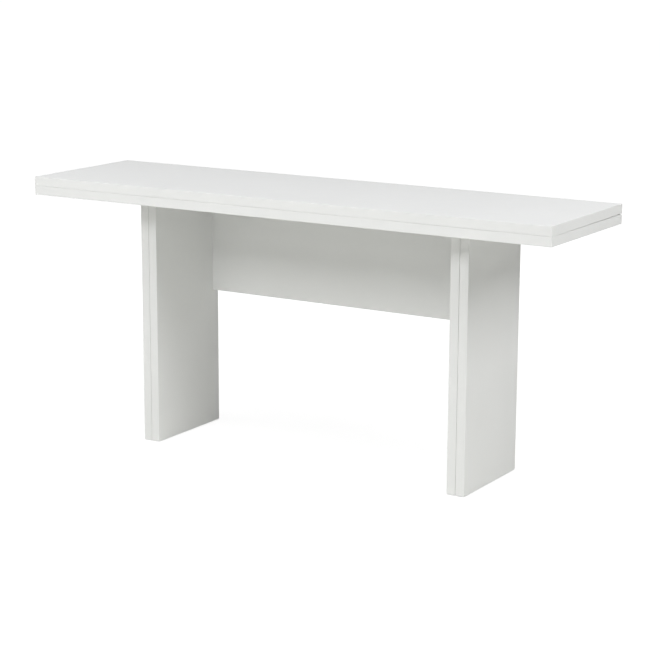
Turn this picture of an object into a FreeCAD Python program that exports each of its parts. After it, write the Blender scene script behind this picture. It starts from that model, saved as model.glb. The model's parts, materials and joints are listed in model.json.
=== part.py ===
"""Extending console table that opens like a book to twice its depth.

The upper leaf of the top folds over on flush flap hinges along its back edge, and the outer board
of each leg swings round on butt hinges to carry it. Lengths are in millimetres. +X runs along the
table, +Y points to its back and +Z up, from an origin on the floor under the centre of the top.
"""

import FreeCAD, Part
import math
import os

# Boards
TOP_LENGTH = 1600.0
LEAF_DEPTH = 425.0
LEAF_THICKNESS = 25.5
LEAF_HINGE_GAP = 2.0
LEAF_FRONT_GAP = 0.3
WORK_HEIGHT = 729.0
LEG_DEPTH = 300.0
LEG_THICKNESS = 25.5
LEG_GAP = 0.8
END_OVERHANG = 282.5
LEG_BACK_INSET = 6.5
SWING_LEG_TOP_GAP = 1.5
APRON_HEIGHT = 303.0
APRON_THICKNESS = 25.5
APRON_BACK_INSET = 2.0
EDGE_RADIUS = 1.0
FOLD_EDGE_RADIUS = 2.5

# Flap hinges between the leaves
FLAP_HINGE_COUNT = 4
FLAP_HINGE_END_INSET = 200.0
FLAP_PLATE_WIDTH = 30.0
FLAP_PLATE_LENGTH = 45.0
FLAP_PLATE_THICKNESS = 2.5
FLAP_PLATE_CORNER = 6.0
FLAP_NOSE_INSET = 1.0
FLAP_NOSE_RADIUS = 1.0
FLAP_BAR_LENGTH = 7.0
FLAP_BAR_HEIGHT = 6.0
FLAP_PIN_DEPTH = 3.0
FLAP_PIN_RADIUS = 1.25
FLAP_SEAM_GAP = 1.0
FLAP_SCREW_SPREAD = 18.0
FLAP_SCREW_INSETS = (16.0, 36.0)
FLAP_SCREW_LENGTH = 12.0
LINK_WIDTH = 8.0
LINK_END_RADIUS = 2.4

# Butt hinges between the leg boards
LEG_HINGE_COUNT = 3
LEG_HINGE_END_INSET = 110.0
LEG_HINGE_HEIGHT = 76.0
LEG_HINGE_PLATE_WIDTH = 17.0
LEG_HINGE_PLATE_THICKNESS = 1.5
LEG_HINGE_SETOFF = 1.0
LEG_HINGE_SCREW_OFFSET = 9.5
LEG_HINGE_SCREW_LENGTH = 20.0
LEG_HINGE_SCREW_SHARES = (0.15, 0.5, 0.85)
KNUCKLE_COUNT = 5
KNUCKLE_RADIUS = 3.0
KNUCKLE_END_GAP = 0.2
LEG_PIN_RADIUS = 1.5
LEG_PIN_HEAD_RADIUS = 2.6
LEG_PIN_HEAD_HEIGHT = 1.2

# Countersunk screws
SCREW_HEAD_RADIUS = 3.0
SCREW_SHANK_RADIUS = 1.6
SCREW_TIP_RADIUS = 0.3
SCREW_RECESS_LENGTH = 3.4
SCREW_RECESS_WIDTH = 0.8
SCREW_RECESS_DEPTH = 1.0

# Cam fittings and dowels
CAM_RADIUS = 7.4
CAM_FLOOR = 0.7
CAM_BACKSET = 34.0
CAM_CHANNEL_REACH = 4.5
CAM_RECESS_LENGTH = 8.0
CAM_RECESS_WIDTH = 1.6
CAM_RECESS_DEPTH = 3.0
BOLT_AXIS_DEPTH = 9.5
BOLT_HEAD_RADIUS = 3.2
BOLT_HEAD_LENGTH = 4.0
BOLT_NECK_RADIUS = 2.2
BOLT_NECK_LENGTH = 6.0
BOLT_SHAFT_RADIUS = 3.2
BOLT_THREAD_RADIUS = 2.5
BOLT_THREAD_LENGTH = 11.0
CAP_RADIUS = 8.5
CAP_THICKNESS = 0.5
CAP_EDGE = 0.2
DOWEL_RADIUS = 4.0
DOWEL_LENGTH = 30.0
DOWEL_FACE_DEPTH = 12.0
DOWEL_CHAMFER = 1.0
LEG_CAM_SHARES = (0.25, 0.75)
LEG_DOWEL_SHARES = (0.08, 0.5)
APRON_END_CAM_SHARES = (0.2, 0.8)
APRON_END_DOWEL_SHARES = (0.35, 0.65)
APRON_TOP_CAM_SHARES = (0.2, 0.5, 0.8)
APRON_TOP_DOWEL_SHARES = (0.06, 0.38, 0.62, 0.94)

# Feet, pads, bumpers and magnetic catches
GLIDE_RADIUS = 9.0
GLIDE_HEIGHT = 2.0
GLIDE_EDGE = 0.8
GLIDE_NAIL_LENGTH = 14.0
GLIDE_DEPTH_SHARES = (0.12, 0.88)
PAD_RADIUS = 8.0
PAD_HEIGHT = 1.0
PAD_EDGE = 0.4
PAD_NAIL_LENGTH = 12.0
PAD_DEPTH_SHARES = (0.15, 0.85)
NAIL_RADIUS = 1.2
NAIL_TIP_RADIUS = 0.3
NAIL_TIP_LENGTH = 2.0
BUMPER_RADIUS = 5.0
BUMPER_EDGE = 0.2
BUMPER_FRONT_INSET = 40.0
BUMPER_LENGTH_SHARES = (0.05, 0.35, 0.65, 0.95)
CATCH_FRONT_INSET = 30.0
CATCH_AIR_GAP = 0.4
MAGNET_RADIUS = 5.0
MAGNET_DEPTH = 8.0
MAGNET_EDGE = 0.2
STRIKE_RADIUS = 6.0
STRIKE_DEPTH = 1.2
STRIKE_EDGE = 0.2
STRIKE_NAIL_LENGTH = 10.0

# Clearances, and the overrun of a cut past an open face
RUNNING_CLEARANCE = 0.05
BORE_CLEARANCE = 0.05
BORE_END_CLEARANCE = 0.3
CAM_CLEARANCE = 0.1
MORTISE_CLEARANCE = 0.2
LINK_SIDE_CLEARANCE = 0.2
LINK_END_CLEARANCE = 0.3
KNUCKLE_CLEARANCE = 0.25
RELIEF_CLEARANCE = 0.4
OVERRUN = 5.0

FULL_TURN = 360.0
SAME_PLACE = 1e-6

Vector = FreeCAD.Vector
ORIGIN = Vector(0, 0, 0)
X = Vector(1, 0, 0)
Y = Vector(0, 1, 0)
Z = Vector(0, 0, 1)

# The top, seen from the side
back_edge = LEAF_DEPTH / 2
leaf_underside = WORK_HEIGHT - LEAF_THICKNESS
fold_plane = WORK_HEIGHT + LEAF_HINGE_GAP / 2
flap_pin_y = back_edge - FLAP_PIN_DEPTH - (LEAF_HINGE_GAP - FLAP_SEAM_GAP) / 2
flap_pin_z = WORK_HEIGHT - FLAP_PIN_DEPTH
upper_pin_z = 2 * fold_plane - flap_pin_z
flap_nose = back_edge - FLAP_NOSE_INSET
flap_tail = flap_nose - FLAP_PLATE_LENGTH
link_slot_end = flap_pin_y - LINK_END_RADIUS - LINK_END_CLEARANCE

# The folded leaf leans forward on its pins, because the hinges hold it higher than the bumpers do
leaf_lean = math.asin((LEAF_HINGE_GAP - LEAF_FRONT_GAP) / (flap_pin_y + back_edge))
bumper_gap = LEAF_FRONT_GAP + (BUMPER_FRONT_INSET - BUMPER_RADIUS) * math.tan(leaf_lean)
bumper_height = bumper_gap - RUNNING_CLEARANCE

# The right leg, from its outer face inwards
half_length = TOP_LENGTH / 2
swing_outer = half_length - END_OVERHANG
swing_inner = swing_outer - LEG_THICKNESS
seam_x = swing_inner - LEG_GAP / 2
fixed_outer = swing_inner - LEG_GAP
fixed_inner = fixed_outer - LEG_THICKNESS
swing_middle = (swing_inner + swing_outer) / 2
fixed_middle = (fixed_inner + fixed_outer) / 2
leg_back = back_edge - LEG_BACK_INSET
leg_front = leg_back - LEG_DEPTH
swing_top = leaf_underside - SWING_LEG_TOP_GAP
hinge_y = leg_back + LEG_HINGE_SETOFF
knuckle_pitch = LEG_HINGE_HEIGHT / KNUCKLE_COUNT
fixed_knuckles = range(0, KNUCKLE_COUNT, 2)
swing_knuckles = range(1, KNUCKLE_COUNT, 2)
catch_place = Vector(seam_x, leg_front + CATCH_FRONT_INSET, leaf_underside / 2)
catch_proud = (LEG_GAP - CATCH_AIR_GAP) / 2

# A cam reaches past the head of its bolt
cam_height = BOLT_AXIS_DEPTH + BOLT_HEAD_RADIUS + CAM_CLEARANCE + CAM_FLOOR

# The apron between the fixed leg boards
apron_back = leg_back - APRON_BACK_INSET
apron_front = apron_back - APRON_THICKNESS
apron_middle = (apron_front + apron_back) / 2
apron_bottom = leaf_underside - APRON_HEIGHT


def spread(count, low, high):
    """Evenly spaced places from low to high."""
    return [low + (high - low) * index / (count - 1) for index in range(count)]


def shared(shares, low, high):
    """Places at the given shares of the way from low to high."""
    return [low + share * (high - low) for share in shares]


flap_hinge_places = spread(
    FLAP_HINGE_COUNT, FLAP_HINGE_END_INSET - half_length, half_length - FLAP_HINGE_END_INSET)
leg_hinge_places = spread(
    LEG_HINGE_COUNT, GLIDE_HEIGHT + LEG_HINGE_END_INSET, leaf_underside - LEG_HINGE_END_INSET)


# Shapes that the pieces are made from

def around(centre, size):
    """Low and high limits of a size centred on a place."""
    return (centre - size / 2, centre + size / 2)


def block(x_span, y_span, z_span):
    """Rectangular block between low and high limits."""
    spans = (x_span, y_span, z_span)
    low = Vector(*[span[0] for span in spans])
    return Part.makeBox(*[span[1] - span[0] for span in spans], low)


def edges_at(shape, **places):
    """Edges whose ends all lie at the given x, y or z places."""
    def fits(point):
        return all(abs(getattr(point, axis.upper()) - place) < SAME_PLACE for axis, place in places.items())
    return [edge for edge in shape.Edges if all(fits(point) for point in edge.Vertexes)]


def rounded(blank, kept):
    """Blank with its edges rounded, apart from the kept ones."""
    edges = [edge for edge in blank.Edges if not any(edge.isSame(other) for other in kept)]
    return blank.makeFillet(EDGE_RADIUS, edges)


def board(x_span, y_span, z_span, joint_faces=()):
    """Board with rounded edges, left square round the faces that meet another board."""
    blank = block(x_span, y_span, z_span)
    return rounded(blank, [edge for face in joint_faces for edge in edges_at(blank, **face)])


def rod(radius, length, start, direction):
    """Cylinder from a start point along a direction."""
    return Part.makeCylinder(radius, length, start, direction)


def turned(profile, seat, direction):
    """Turned solid from (distance along the axis, radius) pairs, measured from its seat."""
    outline = [Vector(radius, 0, along) for along, radius in profile]
    start = Vector(0, 0, profile[0][0])
    end = Vector(0, 0, profile[-1][0])
    face = Part.Face(Part.makePolygon([start, *outline, end, start]))
    solid = face.revolve(ORIGIN, Z, FULL_TURN)
    solid.Placement = FreeCAD.Placement(seat, FreeCAD.Rotation(Z, direction))
    return solid


def cross_recess(length, width, depth, seat, direction):
    """Cross-shaped driver recess that opens at the seat."""
    arm = block(around(0, length), around(0, width), (-OVERRUN, depth))
    cross = arm.fuse(block(around(0, width), around(0, length), (-OVERRUN, depth)))
    cross.Placement = FreeCAD.Placement(seat, FreeCAD.Rotation(Z, direction))
    return cross


def across_fold(shape):
    """The same shape in the folding leaf, which mirrors the fixed leaf and leans forward."""
    folded = shape.mirror(Vector(0, 0, fold_plane), Z)
    folded.rotate(Vector(0, flap_pin_y, upper_pin_z), X, math.degrees(leaf_lean))
    return folded


def on_left(shape):
    """The same shape on the left leg, which mirrors the right leg."""
    return shape.mirror(ORIGIN, X)


# Fasteners

def screw(seat, direction, length):
    """Countersunk screw with its head flush at the seat."""
    head_height = SCREW_HEAD_RADIUS - SCREW_SHANK_RADIUS
    tip_start = length - SCREW_SHANK_RADIUS
    profile = [
        (0, SCREW_HEAD_RADIUS),
        (head_height, SCREW_SHANK_RADIUS),
        (tip_start, SCREW_SHANK_RADIUS),
        (length, SCREW_TIP_RADIUS),
    ]
    recess = cross_recess(SCREW_RECESS_LENGTH, SCREW_RECESS_WIDTH, SCREW_RECESS_DEPTH, seat, direction)
    return turned(profile, seat, direction).cut(recess)


def screw_hole(seat, direction, length):
    """Countersunk hole that clears a screw all round."""
    head = SCREW_HEAD_RADIUS + BORE_CLEARANCE
    shank = SCREW_SHANK_RADIUS + BORE_CLEARANCE
    profile = [
        (-OVERRUN, head),
        (0, head),
        (head - shank, shank),
        (length + BORE_END_CLEARANCE, shank),
    ]
    return turned(profile, seat, direction)


def nailed_disc(radius, height, edge, nail_length, seat, direction):
    """Disc with a chamfered rim, its face at the seat, on a drive-in nail along the direction."""
    nail_end = height + nail_length
    profile = [
        (0, radius - edge),
        (edge, radius),
        (height, radius),
        (height, NAIL_RADIUS),
        (nail_end - NAIL_TIP_LENGTH, NAIL_RADIUS),
        (nail_end, NAIL_TIP_RADIUS),
    ]
    return turned(profile, seat, direction)


def nail_hole(height, nail_length, seat, direction):
    """Hole for the nail of a disc of the given height."""
    start = seat + direction * (height - OVERRUN)
    return rod(NAIL_RADIUS + BORE_CLEARANCE, OVERRUN + nail_length + BORE_END_CLEARANCE, start, direction)


def dowel(joint, direction):
    """Dowel across a joint, pointing into the board that is drilled through its face."""
    start = joint - direction * (DOWEL_LENGTH - DOWEL_FACE_DEPTH)
    profile = [
        (0, DOWEL_RADIUS - DOWEL_CHAMFER),
        (DOWEL_CHAMFER, DOWEL_RADIUS),
        (DOWEL_LENGTH - DOWEL_CHAMFER, DOWEL_RADIUS),
        (DOWEL_LENGTH, DOWEL_RADIUS - DOWEL_CHAMFER),
    ]
    return turned(profile, start, direction)


def dowel_hole(joint, direction):
    """Hole for a dowel through both boards of a joint."""
    start = joint - direction * (DOWEL_LENGTH - DOWEL_FACE_DEPTH + BORE_END_CLEARANCE)
    return rod(DOWEL_RADIUS + BORE_CLEARANCE, DOWEL_LENGTH + 2 * BORE_END_CLEARANCE, start, direction)


def cam_centre(face, outward):
    """Point inside a cam where its axis crosses the bolt's."""
    return face - outward * BOLT_AXIS_DEPTH


def cam(face, outward, to_joint):
    """Cam with a driver recess and a channel for the head and neck of its bolt."""
    body = rod(CAM_RADIUS, cam_height, face - outward * cam_height, outward)
    recess = cross_recess(CAM_RECESS_LENGTH, CAM_RECESS_WIDTH, CAM_RECESS_DEPTH, face, -outward)
    start = cam_centre(face, outward) - to_joint * CAM_CHANNEL_REACH
    channel = rod(BOLT_HEAD_RADIUS + CAM_CLEARANCE, CAM_CHANNEL_REACH + CAM_BACKSET, start, to_joint)
    return body.cut([recess, channel])


def cam_bolt(face, outward, to_joint):
    """Bolt from the middle of a cam through the joint into the next board."""
    head_end = BOLT_HEAD_LENGTH / 2
    neck_end = head_end + BOLT_NECK_LENGTH
    profile = [
        (-head_end, BOLT_NECK_RADIUS),
        (0, BOLT_HEAD_RADIUS),
        (head_end, BOLT_HEAD_RADIUS),
        (head_end, BOLT_NECK_RADIUS),
        (neck_end, BOLT_NECK_RADIUS),
        (neck_end, BOLT_SHAFT_RADIUS),
        (CAM_BACKSET, BOLT_SHAFT_RADIUS),
        (CAM_BACKSET, BOLT_THREAD_RADIUS),
        (CAM_BACKSET + BOLT_THREAD_LENGTH, BOLT_THREAD_RADIUS),
    ]
    return turned(profile, cam_centre(face, outward), to_joint)


def cam_cap(face, outward, to_joint):
    """Round cover cap that lies on the board over a cam."""
    profile = [
        (0, CAP_RADIUS),
        (CAP_THICKNESS - CAP_EDGE, CAP_RADIUS),
        (CAP_THICKNESS, CAP_RADIUS - CAP_EDGE),
    ]
    return turned(profile, face, outward)


def cam_holes(face, outward, to_joint):
    """Bores for a cam and the shaft of its bolt, in the board that holds the cam."""
    depth = cam_height + CAM_CLEARANCE
    pocket = rod(CAM_RADIUS + CAM_CLEARANCE, depth + OVERRUN, face - outward * depth, outward)
    start = cam_centre(face, outward)
    shaft = rod(BOLT_SHAFT_RADIUS + CAM_CLEARANCE, CAM_BACKSET + OVERRUN, start, to_joint)
    return [pocket, shaft]


def thread_hole(face, outward, to_joint):
    """Bore for the thread of a cam bolt, in the board across the joint."""
    joint = cam_centre(face, outward) + to_joint * (CAM_BACKSET - OVERRUN)
    length = OVERRUN + BOLT_THREAD_LENGTH + BORE_END_CLEARANCE
    return rod(BOLT_THREAD_RADIUS + BORE_CLEARANCE, length, joint, to_joint)


# Flap hinges, drawn in the fixed leaf

def flap_plate_blank(x, clearance, nose, top):
    """Flat part of a hinge plate with rounded tail corners, or its mortise when given a clearance."""
    x_span = around(x, FLAP_PLATE_WIDTH + 2 * clearance)
    tail = flap_tail - clearance
    plate = block(x_span, (tail, nose), (WORK_HEIGHT - FLAP_PLATE_THICKNESS, top))
    corners = [edge for side in x_span for edge in edges_at(plate, x=side, y=tail)]
    return plate.makeFillet(FLAP_PLATE_CORNER + clearance, corners)


def flap_screw_seats(x):
    """Places of the screw heads on a hinge plate."""
    return [
        Vector(column, flap_nose - inset, WORK_HEIGHT)
        for column in around(x, FLAP_SCREW_SPREAD)
        for inset in FLAP_SCREW_INSETS
    ]


def flap_plate(x):
    """Hinge plate with a knuckle bar along its nose, slotted for the link."""
    bar = block(
        around(x, FLAP_PLATE_WIDTH),
        (flap_nose - FLAP_BAR_LENGTH, flap_nose),
        (WORK_HEIGHT - FLAP_BAR_HEIGHT, WORK_HEIGHT))
    plate = flap_plate_blank(x, 0, flap_nose, WORK_HEIGHT).fuse(bar).removeSplitter()
    plate = plate.makeFillet(FLAP_NOSE_RADIUS, edges_at(plate, y=flap_nose, z=WORK_HEIGHT))
    slot = block(
        around(x, LINK_WIDTH + 2 * LINK_SIDE_CLEARANCE),
        (link_slot_end, flap_nose + OVERRUN),
        (WORK_HEIGHT - FLAP_BAR_HEIGHT - OVERRUN, WORK_HEIGHT + OVERRUN))
    pin_start = Vector(x - FLAP_PLATE_WIDTH / 2 - OVERRUN, flap_pin_y, flap_pin_z)
    pin_bore = rod(FLAP_PIN_RADIUS + BORE_CLEARANCE, FLAP_PLATE_WIDTH + 2 * OVERRUN, pin_start, X)
    holes = [screw_hole(seat, -Z, FLAP_SCREW_LENGTH) for seat in flap_screw_seats(x)]
    return plate.cut([slot, pin_bore, *holes])


def flap_pin(x):
    """Pin along the knuckle bar."""
    start = Vector(x - FLAP_PLATE_WIDTH / 2, flap_pin_y, flap_pin_z)
    return rod(FLAP_PIN_RADIUS, FLAP_PLATE_WIDTH, start, X)


def flap_screws(x):
    """Screws of one hinge plate."""
    return [screw(seat, -Z, FLAP_SCREW_LENGTH) for seat in flap_screw_seats(x)]


def flap_mortise(x):
    """Cuts in the leaf for one hinge plate, its bar and its screws, open at the back edge."""
    plate = flap_plate_blank(x, MORTISE_CLEARANCE, back_edge + OVERRUN, WORK_HEIGHT + OVERRUN)
    bar = block(
        around(x, FLAP_PLATE_WIDTH + 2 * MORTISE_CLEARANCE),
        (flap_nose - FLAP_BAR_LENGTH - MORTISE_CLEARANCE, back_edge + OVERRUN),
        (WORK_HEIGHT - FLAP_BAR_HEIGHT - MORTISE_CLEARANCE, WORK_HEIGHT))
    holes = [screw_hole(seat, -Z, FLAP_SCREW_LENGTH) for seat in flap_screw_seats(x)]
    return [plate, bar, *holes]


def flap_link(x):
    """Link between the pins of the two leaves, upright while the top is folded."""
    lower = Vector(x - LINK_WIDTH / 2, flap_pin_y, flap_pin_z)
    upper = Vector(lower.x, lower.y, upper_pin_z)
    web = block(around(x, LINK_WIDTH), around(flap_pin_y, 2 * LINK_END_RADIUS), (lower.z, upper.z))
    link = web.fuse([rod(LINK_END_RADIUS, LINK_WIDTH, end, X) for end in (lower, upper)]).removeSplitter()
    bore_radius = FLAP_PIN_RADIUS + RUNNING_CLEARANCE
    bores = [rod(bore_radius, LINK_WIDTH + 2 * OVERRUN, end - X * OVERRUN, X) for end in (lower, upper)]
    return link.cut(bores)


# Butt hinges, drawn on the right leg

def hinge_axis(z):
    """Point on the hinge axis at a height."""
    return Vector(seam_x, hinge_y, z)


def leg_hinge_screw_seats(z, side):
    """Places of the screw heads on a hinge leaf; side is -1 for the fixed board and 1 for the other."""
    low, high = around(z, LEG_HINGE_HEIGHT)
    heights = shared(LEG_HINGE_SCREW_SHARES, low, high)
    return [Vector(seam_x + side * LEG_HINGE_SCREW_OFFSET, leg_back, height) for height in heights]


def hinge_leaf(z, side, own_knuckles):
    """Hinge leaf with its own knuckles, notched for those of the other leaf."""
    low, high = around(z, LEG_HINGE_HEIGHT)
    x_span = sorted((seam_x, seam_x + side * LEG_HINGE_PLATE_WIDTH))
    plate = block(x_span, (leg_back - LEG_HINGE_PLATE_THICKNESS, leg_back), (low, high))
    knuckle_length = knuckle_pitch - KNUCKLE_END_GAP
    knuckles = []
    notches = []
    for index in range(KNUCKLE_COUNT):
        start = low + index * knuckle_pitch
        if index in own_knuckles:
            knuckles.append(rod(KNUCKLE_RADIUS, knuckle_length, hinge_axis(start + KNUCKLE_END_GAP / 2), Z))
        else:
            notches.append(rod(KNUCKLE_RADIUS + KNUCKLE_CLEARANCE, knuckle_pitch, hinge_axis(start), Z))
    bore_start = hinge_axis(low - OVERRUN)
    bore = rod(LEG_PIN_RADIUS + RUNNING_CLEARANCE, LEG_HINGE_HEIGHT + 2 * OVERRUN, bore_start, Z)
    holes = [screw_hole(seat, -Y, LEG_HINGE_SCREW_LENGTH) for seat in leg_hinge_screw_seats(z, side)]
    return plate.cut(notches).fuse(knuckles).cut([bore, *holes])


def leg_hinge_screws(z, side):
    """Screws of one hinge leaf."""
    return [screw(seat, -Y, LEG_HINGE_SCREW_LENGTH) for seat in leg_hinge_screw_seats(z, side)]


def leg_hinge_pin(z):
    """Hinge pin with a head on top of the hinge."""
    low, high = around(z, LEG_HINGE_HEIGHT)
    profile = [
        (low, LEG_PIN_RADIUS),
        (high, LEG_PIN_RADIUS),
        (high, LEG_PIN_HEAD_RADIUS),
        (high + LEG_PIN_HEAD_HEIGHT, LEG_PIN_HEAD_RADIUS),
    ]
    return turned(profile, hinge_axis(0), Z)


def leg_hinge_mortise(z, side):
    """Cuts in a leg board for one hinge leaf, its screws and the round of the knuckles."""
    low, high = around(z, LEG_HINGE_HEIGHT + 2 * MORTISE_CLEARANCE)
    x_span = sorted((seam_x, seam_x + side * (LEG_HINGE_PLATE_WIDTH + MORTISE_CLEARANCE)))
    plate = block(x_span, (leg_back - LEG_HINGE_PLATE_THICKNESS, leg_back + OVERRUN), (low, high))
    groove_length = LEG_HINGE_HEIGHT + 2 * (LEG_PIN_HEAD_HEIGHT + RELIEF_CLEARANCE)
    groove = rod(KNUCKLE_RADIUS + RELIEF_CLEARANCE, groove_length, hinge_axis(z - groove_length / 2), Z)
    holes = [screw_hole(seat, -Y, LEG_HINGE_SCREW_LENGTH) for seat in leg_hinge_screw_seats(z, side)]
    return [plate, groove, *holes]


# Places of the cams, as a point on the board's face, its outward direction and the way to the joint

leg_cams = [
    (Vector(fixed_outer, y, leaf_underside - CAM_BACKSET), X, Z)
    for y in shared(LEG_CAM_SHARES, leg_front, leg_back)
]
apron_end_cams = [
    (Vector(fixed_inner - CAM_BACKSET, apron_back, z), Y, X)
    for z in shared(APRON_END_CAM_SHARES, apron_bottom, leaf_underside)
]
apron_top_cams = [
    (Vector(x, apron_back, leaf_underside - CAM_BACKSET), Y, Z)
    for x in shared(APRON_TOP_CAM_SHARES, -fixed_inner, fixed_inner)
]

# Places of the dowels, as a point in the joint and the way into the board that is drilled through its face

leg_dowels = [
    (Vector(fixed_middle, y, leaf_underside), Z)
    for y in shared(LEG_DOWEL_SHARES, leg_front, leg_back)
]
apron_end_dowels = [
    (Vector(fixed_inner, apron_middle, z), X)
    for z in shared(APRON_END_DOWEL_SHARES, apron_bottom, leaf_underside)
]
apron_top_dowels = [
    (Vector(x, apron_middle, leaf_underside), Z)
    for x in shared(APRON_TOP_DOWEL_SHARES, -fixed_inner, fixed_inner)
]


def both_sides(shapes):
    """Shapes of the right leg followed by their mirror images on the left leg."""
    return [*shapes, *[on_left(shape) for shape in shapes]]


def glide_seats(x):
    """Places on the floor of the glides under a leg board."""
    return [Vector(x, y, 0) for y in shared(GLIDE_DEPTH_SHARES, leg_front, leg_back)]


def pad_seats():
    """Places of the tops of the pads on a swinging leg board."""
    places = shared(PAD_DEPTH_SHARES, leg_front, leg_back)
    return [Vector(swing_middle, y, swing_top + PAD_HEIGHT) for y in places]


# Boards

def leaf_blank():
    """Leaf with the hinge mortises that both leaves have, as it lies in the fixed leaf's place."""
    panel = block((-half_length, half_length), (-back_edge, back_edge), (leaf_underside, WORK_HEIGHT))
    panel = panel.makeFillet(FOLD_EDGE_RADIUS, edges_at(panel, y=back_edge, z=WORK_HEIGHT))
    run_out = edges_at(panel, y=back_edge - FOLD_EDGE_RADIUS, z=WORK_HEIGHT)
    run_out += edges_at(panel, y=back_edge, z=WORK_HEIGHT - FOLD_EDGE_RADIUS)
    leaf = rounded(panel, run_out)
    return leaf.cut([cut for x in flap_hinge_places for cut in flap_mortise(x)])


def fixed_leaf():
    """Lower leaf, drilled underneath for the legs and the apron."""
    holes = both_sides([thread_hole(*place) for place in leg_cams])
    holes += both_sides([dowel_hole(*place) for place in leg_dowels])
    holes += [thread_hole(*place) for place in apron_top_cams]
    holes += [dowel_hole(*place) for place in apron_top_dowels]
    return leaf_blank().cut(holes)


def fixed_leg():
    """Inner board of the right leg, which carries the fixed leaf."""
    leg = board(
        (fixed_inner, fixed_outer), (leg_front, leg_back), (GLIDE_HEIGHT, leaf_underside),
        [{"z": leaf_underside}])
    cuts = [cut for z in leg_hinge_places for cut in leg_hinge_mortise(z, -1)]
    cuts += [hole for place in leg_cams for hole in cam_holes(*place)]
    cuts += [dowel_hole(*place) for place in leg_dowels]
    cuts += [thread_hole(*place) for place in apron_end_cams]
    cuts += [dowel_hole(*place) for place in apron_end_dowels]
    cuts += [nail_hole(GLIDE_HEIGHT, GLIDE_NAIL_LENGTH, seat, Z) for seat in glide_seats(fixed_middle)]
    cuts.append(magnet_hole())
    return leg.cut(cuts)


def swing_leg():
    """Outer board of the right leg, which swings back to carry the folding leaf."""
    leg = board((swing_inner, swing_outer), (leg_front, leg_back), (GLIDE_HEIGHT, swing_top))
    cuts = [cut for z in leg_hinge_places for cut in leg_hinge_mortise(z, 1)]
    cuts += [nail_hole(GLIDE_HEIGHT, GLIDE_NAIL_LENGTH, seat, Z) for seat in glide_seats(swing_middle)]
    cuts += [nail_hole(PAD_HEIGHT, PAD_NAIL_LENGTH, seat, -Z) for seat in pad_seats()]
    cuts += strike_holes()
    return leg.cut(cuts)


def apron():
    """Board between the fixed leg boards at the back, under the fixed leaf."""
    panel = board(
        (-fixed_inner, fixed_inner), (apron_front, apron_back), (apron_bottom, leaf_underside),
        [{"z": leaf_underside}, {"x": fixed_inner}, {"x": -fixed_inner}])
    cuts = both_sides([hole for place in apron_end_cams for hole in cam_holes(*place)])
    cuts += both_sides([dowel_hole(*place) for place in apron_end_dowels])
    cuts += [hole for place in apron_top_cams for hole in cam_holes(*place)]
    cuts += [dowel_hole(*place) for place in apron_top_dowels]
    return panel.cut(cuts)


# Feet, pads, bumpers and catches

def glides(x):
    """Nail-in glides under a leg board."""
    sizes = (GLIDE_RADIUS, GLIDE_HEIGHT, GLIDE_EDGE, GLIDE_NAIL_LENGTH)
    return [nailed_disc(*sizes, seat, Z) for seat in glide_seats(x)]


def pads():
    """Nail-in pads on a swinging leg board that the open leaf rests on."""
    sizes = (PAD_RADIUS, PAD_HEIGHT, PAD_EDGE, PAD_NAIL_LENGTH)
    return [nailed_disc(*sizes, seat, -Z) for seat in pad_seats()]


def bumpers():
    """Clear bumpers on the fixed leaf that the folding leaf lies on."""
    profile = [
        (0, BUMPER_RADIUS),
        (bumper_height - BUMPER_EDGE, BUMPER_RADIUS),
        (bumper_height, BUMPER_RADIUS - BUMPER_EDGE),
    ]
    y = BUMPER_FRONT_INSET - back_edge
    places = shared(BUMPER_LENGTH_SHARES, -half_length, half_length)
    return [turned(profile, Vector(x, y, WORK_HEIGHT), Z) for x in places]


def magnet():
    """Round magnet in the fixed leg board, standing proud in the seam."""
    face = Vector(fixed_outer + catch_proud, catch_place.y, catch_place.z)
    length = MAGNET_DEPTH + catch_proud
    profile = [
        (0, MAGNET_RADIUS - MAGNET_EDGE),
        (MAGNET_EDGE, MAGNET_RADIUS),
        (length, MAGNET_RADIUS),
    ]
    return turned(profile, face, -X)


def magnet_hole():
    """Hole for the magnet in the fixed leg board."""
    start = Vector(fixed_outer - MAGNET_DEPTH, catch_place.y, catch_place.z)
    return rod(MAGNET_RADIUS + BORE_CLEARANCE, MAGNET_DEPTH + OVERRUN, start, X)


def strike():
    """Drive-in steel disc in the swinging leg board, facing the magnet."""
    face = Vector(swing_inner - catch_proud, catch_place.y, catch_place.z)
    return nailed_disc(STRIKE_RADIUS, catch_proud + STRIKE_DEPTH, STRIKE_EDGE, STRIKE_NAIL_LENGTH, face, X)


def strike_holes():
    """Counterbore and nail hole for the strike in the swinging leg board."""
    seat = Vector(swing_inner + STRIKE_DEPTH, catch_place.y, catch_place.z)
    counterbore = rod(STRIKE_RADIUS + BORE_CLEARANCE, STRIKE_DEPTH + OVERRUN, seat, -X)
    return [counterbore, nail_hole(0, STRIKE_NAIL_LENGTH, seat, X)]


# The nodes, each a list of separate solids

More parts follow.
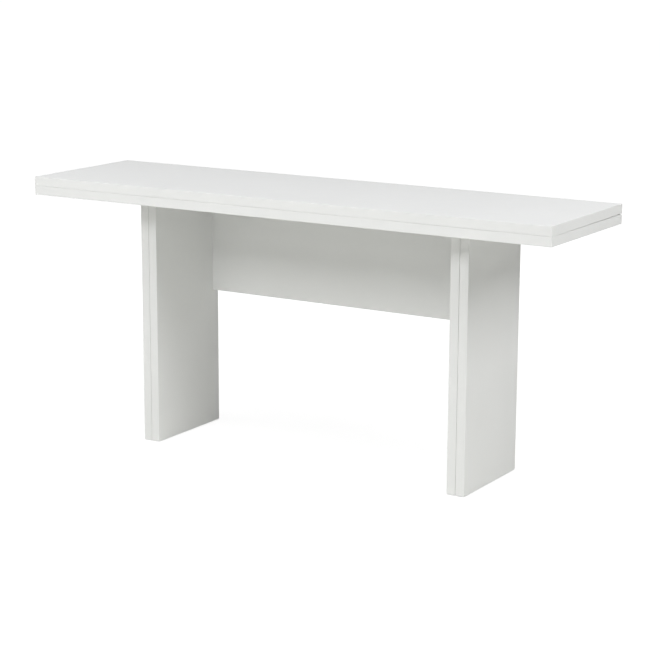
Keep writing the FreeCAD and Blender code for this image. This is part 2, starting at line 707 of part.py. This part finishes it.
def shared_nodes():
    """Pieces of the top, the apron and the joinery."""
    plates = [flap_plate(x) for x in flap_hinge_places]
    pins = [flap_pin(x) for x in flap_hinge_places]
    screws = [piece for x in flap_hinge_places for piece in flap_screws(x)]
    return {
        "fixed_leaf": [fixed_leaf()],
        "folding_leaf": [across_fold(leaf_blank())],
        "apron": [apron()],
        "leaf_bumpers": bumpers(),
        "fixed_leaf_hinge_plates": plates,
        "fixed_leaf_hinge_pins": pins,
        "fixed_leaf_hinge_screws": screws,
        "leaf_hinge_links": [flap_link(x) for x in flap_hinge_places],
        "folding_leaf_hinge_plates": [across_fold(piece) for piece in plates],
        "folding_leaf_hinge_pins": [across_fold(piece) for piece in pins],
        "folding_leaf_hinge_screws": [across_fold(piece) for piece in screws],
        "leg_cams": both_sides([cam(*place) for place in leg_cams]),
        "leg_cam_bolts": both_sides([cam_bolt(*place) for place in leg_cams]),
        "leg_cam_caps": both_sides([cam_cap(*place) for place in leg_cams]),
        "leg_dowels": both_sides([dowel(*place) for place in leg_dowels]),
        "apron_end_cams": both_sides([cam(*place) for place in apron_end_cams]),
        "apron_end_cam_bolts": both_sides([cam_bolt(*place) for place in apron_end_cams]),
        "apron_end_cam_caps": both_sides([cam_cap(*place) for place in apron_end_cams]),
        "apron_end_dowels": both_sides([dowel(*place) for place in apron_end_dowels]),
        "apron_top_cams": [cam(*place) for place in apron_top_cams],
        "apron_top_cam_bolts": [cam_bolt(*place) for place in apron_top_cams],
        "apron_top_cam_caps": [cam_cap(*place) for place in apron_top_cams],
        "apron_top_dowels": [dowel(*place) for place in apron_top_dowels],
    }


def leg_nodes():
    """Pieces of the right leg, whose names get a side in front."""
    places = leg_hinge_places
    return {
        "fixed_leg": [fixed_leg()],
        "fixed_leg_glides": glides(fixed_middle),
        "fixed_leg_magnet": [magnet()],
        "fixed_leg_hinge_leaves": [hinge_leaf(z, -1, fixed_knuckles) for z in places],
        "fixed_leg_hinge_screws": [piece for z in places for piece in leg_hinge_screws(z, -1)],
        "leg_hinge_pins": [leg_hinge_pin(z) for z in places],
        "swing_leg": [swing_leg()],
        "swing_leg_glides": glides(swing_middle),
        "swing_leg_pads": pads(),
        "swing_leg_strike": [strike()],
        "swing_leg_hinge_leaves": [hinge_leaf(z, 1, swing_knuckles) for z in places],
        "swing_leg_hinge_screws": [piece for z in places for piece in leg_hinge_screws(z, 1)],
    }


def save(node, solids):
    """Write the solids of one node."""
    shape = solids[0] if len(solids) == 1 else Part.makeCompound(solids)
    shape.exportStep("parts/" + node + ".step")


os.makedirs("parts", exist_ok=True)
for name, pieces in shared_nodes().items():
    save(name, pieces)
for name, pieces in leg_nodes().items():
    save("right_" + name, pieces)
    save("left_" + name, [on_left(piece) for piece in pieces])
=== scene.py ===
"""Looks of the extending console table: satin white boards, plated fittings, studio light and camera.

Lengths are in metres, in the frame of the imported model: +X along the table, +Y to its back, +Z up.
"""

import json
import math

import bpy
from mathutils import Matrix, Vector

# Camera, as fitted to the edges of the table in the photograph, with lens and sensor in millimetres
CAMERA_PLACE = (2.653, -4.2445, 1.4705)
CAMERA_YAW = math.radians(31.527)
CAMERA_PITCH = math.radians(12.426)
CAMERA_ROLL = math.radians(0.268)
CAMERA_LENS = 102.02
CAMERA_SENSOR = 36.0

# Studio light: each softbox faces the same point, from so many degrees to the right of the front
# and above the floor, with its width and height, and its power in watts
LIGHT_AIM = (0.0, 0.0, 0.45)
LIGHT_DISTANCE = 4.5
SOFTBOXES = {
    "key_softbox": {"turn": -6, "rise": 34, "size": (3.2, 1.2), "power": 78.0},
    "front_softbox": {"turn": 0, "rise": 14, "size": (2.6, 1.2), "power": 9.5},
    "right_softbox": {"turn": 75, "rise": 35, "size": (1.2, 1.8), "power": 89.0},
    "left_softbox": {"turn": -60, "rise": 45, "size": (2.0, 2.0), "power": 63.0},
    "back_softbox": {"turn": 172, "rise": 24, "size": (1.6, 1.6), "power": 40.0},
}

# Strength at which the surroundings look white, and at which they light the table
WHITE_STRENGTH = 1.0
AMBIENT_STRENGTH = 0.14
BACKGROUND_WHITE = (1.0, 1.0, 1.0, 1.0)

# Floor: it glows white from some way out, and nearer the table glows less, so that it shows a faint shadow
FLOOR_SIZE = 60.0
FLOOR_GLOW = 0.86
FLOOR_SHADE = 0.25
SHADOW_RADIUS = 1.0
WHITE_RADIUS = 2.2

# Floor: painted contact shadow, a darkening of its glow close round the feet, and its colour as it lights
# the table from below
CONTACT_REACH = 0.004
PAINTED_CONTACT_SHADE = 0.62
FLOOR_BOUNCE = (0.82, 0.82, 0.77)

# Finishes: the middle part of a noise pattern, over which colour and gloss vary, and the unit of relief
PATTERN_LOW = 0.3
PATTERN_HIGH = 0.7
MICRON = 0.000001

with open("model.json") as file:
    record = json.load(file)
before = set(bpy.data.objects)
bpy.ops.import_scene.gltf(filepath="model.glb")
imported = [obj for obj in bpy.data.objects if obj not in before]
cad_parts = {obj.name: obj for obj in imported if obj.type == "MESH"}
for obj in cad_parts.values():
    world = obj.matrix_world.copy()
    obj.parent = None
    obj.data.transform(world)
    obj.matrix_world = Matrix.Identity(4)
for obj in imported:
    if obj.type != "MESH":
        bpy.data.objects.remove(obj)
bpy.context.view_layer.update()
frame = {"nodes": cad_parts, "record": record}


class Finish:
    """A procedural material: a principled shader with textures in the coordinates of the piece."""

    def __init__(self, name, constants):
        self.material = bpy.data.materials.new(name)
        self.material.use_nodes = True
        self.nodes = self.material.node_tree.nodes
        self.shader = self.nodes["Principled BSDF"]
        self.place = self.nodes.new("ShaderNodeTexCoord").outputs["Object"]
        for socket, value in constants.items():
            self.shader.inputs[socket].default_value = value

    def link(self, source, target):
        """Connect the output of one node to the input of another."""
        self.material.node_tree.links.new(source, target)

    def stretched(self, stretch):
        """Coordinates stretched along the axes, so that a texture runs in one direction."""
        mapping = self.nodes.new("ShaderNodeMapping")
        mapping.inputs["Scale"].default_value = stretch
        self.link(self.place, mapping.inputs["Vector"])
        return mapping.outputs["Vector"]

    def noise(self, scale, detail, roughness=0.5, stretch=(1, 1, 1)):
        """Noise with features about one over scale metres across."""
        texture = self.nodes.new("ShaderNodeTexNoise")
        texture.inputs["Scale"].default_value = scale
        texture.inputs["Detail"].default_value = detail
        texture.inputs["Roughness"].default_value = roughness
        self.link(self.stretched(stretch), texture.inputs["Vector"])
        return texture.outputs["Fac"]

    def colour(self, pattern, dark, light):
        """Vary the colour between two shades over the middle of a pattern."""
        ramp = self.nodes.new("ShaderNodeValToRGB")
        low, high = ramp.color_ramp.elements
        low.position = PATTERN_LOW
        high.position = PATTERN_HIGH
        low.color = (*dark, 1)
        high.color = (*light, 1)
        self.link(pattern, ramp.inputs["Fac"])
        self.link(ramp.outputs["Color"], self.shader.inputs["Base Color"])

    def gloss(self, pattern, smooth, rough):
        """Vary the roughness between two values over the middle of a pattern."""
        span = self.nodes.new("ShaderNodeMapRange")
        span.inputs["From Min"].default_value = PATTERN_LOW
        span.inputs["From Max"].default_value = PATTERN_HIGH
        span.inputs["To Min"].default_value = smooth
        span.inputs["To Max"].default_value = rough
        self.link(pattern, span.inputs["Value"])
        self.link(span.outputs["Result"], self.shader.inputs["Roughness"])

    def relief(self, pattern, microns):
        """Raise the surface by a pattern, so many thousandths of a millimetre from its lows to its highs."""
        bump = self.nodes.new("ShaderNodeBump")
        bump.inputs["Strength"].default_value = 1.0
        bump.inputs["Distance"].default_value = microns * MICRON
        self.link(pattern, bump.inputs["Height"])
        self.link(bump.outputs["Normal"], self.shader.inputs["Normal"])


def white_board():
    """Satin white lacquer with the faint orange peel of a sprayed board."""
    finish = Finish("white_board", {"IOR": 1.46})
    finish.colour(finish.noise(scale=3, detail=3), dark=(0.798, 0.804, 0.801), light=(0.820, 0.826, 0.823))
    finish.gloss(finish.noise(scale=60, detail=3), smooth=0.56, rough=0.66)
    finish.relief(finish.noise(scale=700, detail=1), microns=12)
    return finish.material


def hinge_steel():
    """Satin nickel-plated steel with fine brush lines along the hinge."""
    finish = Finish("hinge_steel", {"Metallic": 1.0})
    brushed = finish.noise(scale=900, detail=3, roughness=0.6, stretch=(0.06, 1, 1))
    finish.colour(finish.noise(scale=90, detail=3), dark=(0.44, 0.43, 0.41), light=(0.56, 0.55, 0.53))
    finish.gloss(brushed, smooth=0.24, rough=0.40)
    finish.relief(brushed, microns=15)
    return finish.material


def plated_screw():
    """Bright zinc plating, a little uneven."""
    finish = Finish("plated_screw", {"Metallic": 1.0})
    finish.colour(finish.noise(scale=400, detail=2), dark=(0.52, 0.52, 0.51), light=(0.66, 0.66, 0.64))
    finish.gloss(finish.noise(scale=1500, detail=2), smooth=0.20, rough=0.36)
    finish.relief(finish.noise(scale=2500, detail=1), microns=10)
    return finish.material


def zinc():
    """Die-cast zinc with a matt cast skin."""
    finish = Finish("zinc", {"Metallic": 1.0})
    finish.colour(finish.noise(scale=300, detail=4), dark=(0.44, 0.44, 0.45), light=(0.58, 0.58, 0.58))
    finish.gloss(finish.noise(scale=1200, detail=3), smooth=0.42, rough=0.62)
    finish.relief(finish.noise(scale=2200, detail=2), microns=40)
    return finish.material


def nickel():
    """Bright nickel plating with faint handling marks."""
    finish = Finish("nickel", {"Metallic": 1.0})
    finish.colour(finish.noise(scale=250, detail=2), dark=(0.52, 0.50, 0.47), light=(0.64, 0.62, 0.58))
    finish.gloss(finish.noise(scale=800, detail=4, roughness=0.7), smooth=0.12, rough=0.28)
    finish.relief(finish.noise(scale=1600, detail=1), microns=6)
    return finish.material


def beech():
    """Bare beech with short dark flecks along the grain."""
    finish = Finish("beech", {"IOR": 1.5})
    grain = finish.noise(scale=500, detail=4, roughness=0.6, stretch=(1, 1, 0.08))
    finish.colour(grain, dark=(0.52, 0.34, 0.19), light=(0.70, 0.50, 0.31))
    finish.gloss(grain, smooth=0.55, rough=0.72)
    finish.relief(grain, microns=60)
    return finish.material


def white_plastic():
    """Moulded white plastic with a spark-eroded grain."""
    finish = Finish("white_plastic", {"IOR": 1.46})
    finish.colour(finish.noise(scale=150, detail=2), dark=(0.80, 0.80, 0.79), light=(0.84, 0.84, 0.83))
    finish.gloss(finish.noise(scale=900, detail=2), smooth=0.42, rough=0.56)
    finish.relief(finish.noise(scale=3000, detail=2), microns=30)
    return finish.material


def grey_nylon():
    """Light grey nylon, scuffed where it slides."""
    finish = Finish("grey_nylon", {"IOR": 1.53})
    finish.colour(finish.noise(scale=220, detail=4), dark=(0.46, 0.46, 0.44), light=(0.58, 0.58, 0.56))
    finish.gloss(finish.noise(scale=600, detail=3), smooth=0.45, rough=0.65)
    finish.relief(finish.noise(scale=1800, detail=3), microns=40)
    return finish.material


def clear_rubber():
    """Clear soft polymer with a slightly frosted skin."""
    finish = Finish("clear_rubber", {"IOR": 1.42, "Transmission Weight": 0.9})
    finish.colour(finish.noise(scale=300, detail=2), dark=(0.88, 0.90, 0.90), light=(0.95, 0.96, 0.96))
    finish.gloss(finish.noise(scale=900, detail=2), smooth=0.16, rough=0.30)
    finish.relief(finish.noise(scale=1500, detail=1), microns=15)
    return finish.material


def dress_nodes():
    """Give each piece of the model the finish of its material slot."""
    makers = (
        white_board, hinge_steel, plated_screw, zinc, nickel, beech, white_plastic, grey_nylon, clear_rubber,
    )
    finishes = {maker.__name__: maker() for maker in makers}
    for piece in frame["record"]["subparts"]:
        for slot in frame["nodes"][piece["node"]].material_slots:
            slot.material = finishes[piece["material_slot"]]


def seen_rays(nodes, links):
    """One for rays from the camera, a reflection or a clear piece, and zero for rays that carry light."""
    rays = nodes.new("ShaderNodeLightPath")
    seen = rays.outputs["Is Camera Ray"]
    for other in ("Is Glossy Ray", "Is Transmission Ray"):
        either = nodes.new("ShaderNodeMath")
        either.operation = "MAXIMUM"
        links.new(seen, either.inputs[0])
        links.new(rays.outputs[other], either.inputs[1])
        seen = either.outputs["Value"]
    return seen


def floor_material():
    """White floor: it shows a faint shadow, with a painted contact shadow close round the feet, and bounces
    plain light on to the table.
    """
    material = bpy.data.materials.new("studio_floor")
    material.use_nodes = True
    nodes = material.node_tree.nodes
    links = material.node_tree.links
    nodes.remove(nodes["Principled BSDF"])
    place = nodes.new("ShaderNodeTexCoord")
    radius = nodes.new("ShaderNodeVectorMath")
    radius.operation = "LENGTH"
    links.new(place.outputs["Object"], radius.inputs[0])
    strength = nodes.new("ShaderNodeMapRange")
    strength.inputs["From Min"].default_value = SHADOW_RADIUS
    strength.inputs["From Max"].default_value = WHITE_RADIUS
    strength.inputs["To Min"].default_value = FLOOR_GLOW
    strength.inputs["To Max"].default_value = WHITE_STRENGTH
    links.new(radius.outputs["Value"], strength.inputs["Value"])
    # Painted contact shadow: the floor's glow is darkened where ambient occlusion finds the feet close by
    contact_occlusion = nodes.new("ShaderNodeAmbientOcclusion")
    contact_occlusion.inputs["Distance"].default_value = CONTACT_REACH
    painted_contact_shade = nodes.new("ShaderNodeMapRange")
    painted_contact_shade.inputs["To Min"].default_value = PAINTED_CONTACT_SHADE
    links.new(contact_occlusion.outputs["AO"], painted_contact_shade.inputs["Value"])
    glow = nodes.new("ShaderNodeEmission")
    links.new(painted_contact_shade.outputs["Result"], glow.inputs["Color"])
    links.new(strength.outputs["Result"], glow.inputs["Strength"])
    shade = nodes.new("ShaderNodeBsdfDiffuse")
    shade.inputs["Color"].default_value = (FLOOR_SHADE, FLOOR_SHADE, FLOOR_SHADE, 1)
    shown = nodes.new("ShaderNodeAddShader")
    links.new(glow.outputs["Emission"], shown.inputs[0])
    links.new(shade.outputs["BSDF"], shown.inputs[1])
    bounce = nodes.new("ShaderNodeBsdfDiffuse")
    bounce.inputs["Color"].default_value = (*FLOOR_BOUNCE, 1)
    choice = nodes.new("ShaderNodeMixShader")
    links.new(seen_rays(nodes, links), choice.inputs["Fac"])
    links.new(bounce.outputs["BSDF"], choice.inputs[1])
    links.new(shown.outputs["Shader"], choice.inputs[2])
    links.new(choice.outputs["Shader"], nodes["Material Output"].inputs["Surface"])
    return material


def add_floor():
    """Wide level floor under the table."""
    half = FLOOR_SIZE / 2
    corners = [(-half, -half, 0), (half, -half, 0), (half, half, 0), (-half, half, 0)]
    mesh = bpy.data.meshes.new("studio_floor")
    mesh.from_pydata(corners, [], [(0, 1, 2, 3)])
    mesh.materials.append(floor_material())
    floor = bpy.data.objects.new("studio_floor", mesh)
    bpy.context.scene.collection.objects.link(floor)


def add_world():
    """White surroundings, dimmer as a source of light than they look."""
    world = bpy.data.worlds.new("studio")
    world.use_nodes = True
    nodes = world.node_tree.nodes
    links = world.node_tree.links
    background = nodes["Background"]
    background.inputs["Color"].default_value = BACKGROUND_WHITE
    strength = nodes.new("ShaderNodeMapRange")
    strength.inputs["To Min"].default_value = AMBIENT_STRENGTH
    strength.inputs["To Max"].default_value = WHITE_STRENGTH
    links.new(seen_rays(nodes, links), strength.inputs["Value"])
    links.new(strength.outputs["Result"], background.inputs["Strength"])
    bpy.context.scene.world = world


def add_softbox(name, turn, rise, size, power):
    """Rectangular softbox that faces the middle of the table."""
    lamp = bpy.data.lights.new(name, "AREA")
    lamp.shape = "RECTANGLE"
    lamp.size, lamp.size_y = size
    lamp.energy = power
    turn, rise = math.radians(turn), math.radians(rise)
    flat = math.cos(rise)
    outward = Vector((math.sin(turn) * flat, -math.cos(turn) * flat, math.sin(rise)))
    box = bpy.data.objects.new(name, lamp)
    box.location = Vector(LIGHT_AIM) + outward * LIGHT_DISTANCE
    box.rotation_euler = outward.to_track_quat("Z", "Y").to_euler()
    bpy.context.scene.collection.objects.link(box)


def add_camera():
    """Camera at the photograph's place, looking down at the table from its front right."""
    forward = Vector((
        -math.sin(CAMERA_YAW) * math.cos(CAMERA_PITCH),
        math.cos(CAMERA_YAW) * math.cos(CAMERA_PITCH),
        -math.sin(CAMERA_PITCH)))
    level = Vector((math.cos(CAMERA_YAW), math.sin(CAMERA_YAW), 0))
    upright = level.cross(forward)
    right = level * math.cos(CAMERA_ROLL) + upright * math.sin(CAMERA_ROLL)
    up = upright * math.cos(CAMERA_ROLL) - level * math.sin(CAMERA_ROLL)
    lens = bpy.data.cameras.new("photo_camera")
    lens.lens = CAMERA_LENS
    lens.sensor_width = CAMERA_SENSOR
    camera = bpy.data.objects.new("photo_camera", lens)
    turn = Matrix((right, up, -forward)).transposed().to_4x4()
    camera.matrix_world = Matrix.Translation(CAMERA_PLACE) @ turn
    bpy.context.scene.collection.objects.link(camera)
    bpy.context.scene.camera = camera


dress_nodes()
add_floor()
add_world()
for name, settings in SOFTBOXES.items():
    add_softbox(name, **settings)
add_camera()
bpy.context.scene.view_settings.view_transform = "Standard"
